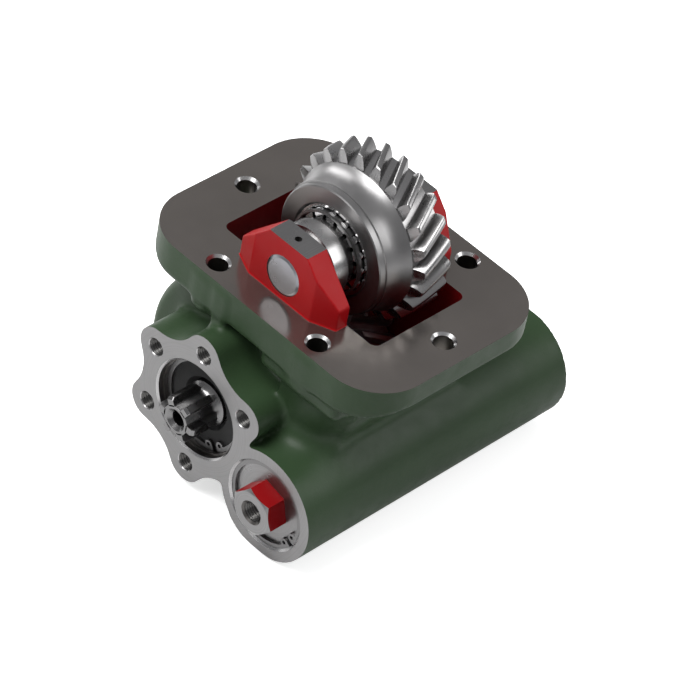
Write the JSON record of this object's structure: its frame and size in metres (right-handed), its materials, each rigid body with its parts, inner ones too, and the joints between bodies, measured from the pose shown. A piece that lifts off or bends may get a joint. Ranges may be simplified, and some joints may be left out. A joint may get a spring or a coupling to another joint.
{
  "type": "power take off unit",
  "caption": "Air-shifted side-mount power take off: cast case with six-hole flange, helical idler gear between two ears, splined output shaft and shift cylinder.",
  "frame": {"origin": "centre of the mounting bolt pattern, in the machined top face of the flange", "axes": "+Z out of the flange towards the driving gearbox, +Y along the shafts from the output flange to the rear, +X towards the shift cylinder"},
  "size_m": [0.172, 0.2026, 0.1863],
  "materials": {
    "green_casting": "semi-matt dark green casting",
    "gear_steel": "hobbed and polished gear steel",
    "ground_steel": "ground bright",
    "bearing_steel": "polished bearing steel",
    "fork_iron": "as cast with machined prongs",
    "red_cap": "red paint with machined faces",
    "machined_alloy": "turned",
    "machined_steel": "turned",
    "dark_fastener": "phosphated",
    "spring_steel": "oil blacked",
    "seal_rubber": "moulded",
    "pressed_cage": "pressed sheet",
    "bush_bronze": "bored",
    "thrust_steel": "ground and polished"
  },
  "bodies": {
    "case": {"housing": "green_casting", "idler_pin": "ground_steel", "idler_lock_pin": "dark_fastener", "cone_spacer": "ground_steel", "front_bearing_cone": "bearing_steel", "rear_bearing_cone": "bearing_steel", "front_thrust_washer": "thrust_steel", "rear_thrust_washer": "thrust_steel", "front_bearing_outer_ring": "bearing_steel", "rear_bearing_outer_ring": "bearing_steel", "shaft_seal": "seal_rubber", "seal_retaining_ring": "spring_steel", "rear_cover": "green_casting", "cover_screws": "dark_fastener", "cylinder_cap": "red_cap", "cap_seal": "seal_rubber", "cap_retaining_ring": "spring_steel", "rod_seal": "seal_rubber", "rear_plug": "machined_steel", "return_spring": "spring_steel"},
    "idler": {"idler_gear": "gear_steel", "front_bearing_cup": "bearing_steel", "rear_bearing_cup": "bearing_steel"},
    "front_rollers": {"front_roller_cage": "pressed_cage", "front_tapered_rollers": "bearing_steel"},
    "rear_rollers": {"rear_roller_cage": "pressed_cage", "rear_tapered_rollers": "bearing_steel"},
    "gear": {"output_gear": "gear_steel", "output_gear_bush": "bush_bronze"},
    "shaft": {"output_shaft": "ground_steel", "front_bearing_inner_ring": "bearing_steel", "rear_bearing_inner_ring": "bearing_steel", "front_gear_washer": "thrust_steel", "rear_gear_washer": "thrust_steel"},
    "front_balls": {"front_ball_cage": "pressed_cage", "front_bearing_balls": "bearing_steel"},
    "rear_balls": {"rear_ball_cage": "pressed_cage", "rear_bearing_balls": "bearing_steel"},
    "sleeve": {"clutch_sleeve": "ground_steel"},
    "shift": {"shift_rod": "ground_steel", "shift_piston": "machined_alloy", "piston_seal": "seal_rubber", "piston_nut": "dark_fastener", "shift_fork": "fork_iron", "fork_pin": "dark_fastener", "spring_collar": "machined_steel", "collar_keeper": "dark_fastener"}
  },
  "joints": [
    {"name": "idler_spin", "type": "hinge", "parent": "case", "child": "idler", "pos_m": [0, 0, 0.0139], "axis": [0, 1, 0], "continuous": true},
    {"name": "front_roller_spin", "type": "hinge", "parent": "case", "child": "front_rollers", "pos_m": [0, 0, 0.0139], "axis": [0, 1, 0], "continuous": true},
    {"name": "rear_roller_spin", "type": "hinge", "parent": "case", "child": "rear_rollers", "pos_m": [0, 0, 0.0139], "axis": [0, 1, 0], "continuous": true},
    {"name": "output_gear_spin", "type": "hinge", "parent": "case", "child": "gear", "pos_m": [-0.0157, 0, -0.07288], "axis": [0, 1, 0], "continuous": true},
    {"name": "output_shaft_spin", "type": "hinge", "parent": "case", "child": "shaft", "pos_m": [-0.0157, 0, -0.07288], "axis": [0, 1, 0], "continuous": true},
    {"name": "front_ball_spin", "type": "hinge", "parent": "case", "child": "front_balls", "pos_m": [-0.0157, 0, -0.07288], "axis": [0, 1, 0], "continuous": true},
    {"name": "rear_ball_spin", "type": "hinge", "parent": "case", "child": "rear_balls", "pos_m": [-0.0157, 0, -0.07288], "axis": [0, 1, 0], "continuous": true},
    {"name": "shift_slide", "type": "slide", "parent": "case", "child": "shift", "axis": [0, 1, 0], "range_m": [0, 0.006], "stiffness_N_per_m": 900, "springref_m": -0.012, "deforming": ["return_spring"]},
    {"name": "sleeve_slide", "type": "slide", "parent": "shaft", "child": "sleeve", "axis": [0, 1, 0], "range_m": [0, 0.006]}
  ],
  "couplings": [
    {"joint": "output_gear_spin", "follows": "idler_spin", "ratio": -0.95833},
    {"joint": "front_roller_spin", "follows": "idler_spin", "ratio": 0.573},
    {"joint": "rear_roller_spin", "follows": "idler_spin", "ratio": 0.573},
    {"joint": "output_shaft_spin", "follows": "idler_spin", "ratio": -0.95833},
    {"joint": "front_ball_spin", "follows": "idler_spin", "ratio": -0.38046},
    {"joint": "rear_ball_spin", "follows": "idler_spin", "ratio": -0.38046},
    {"joint": "sleeve_slide", "follows": "shift_slide", "ratio": 1}
  ]
}
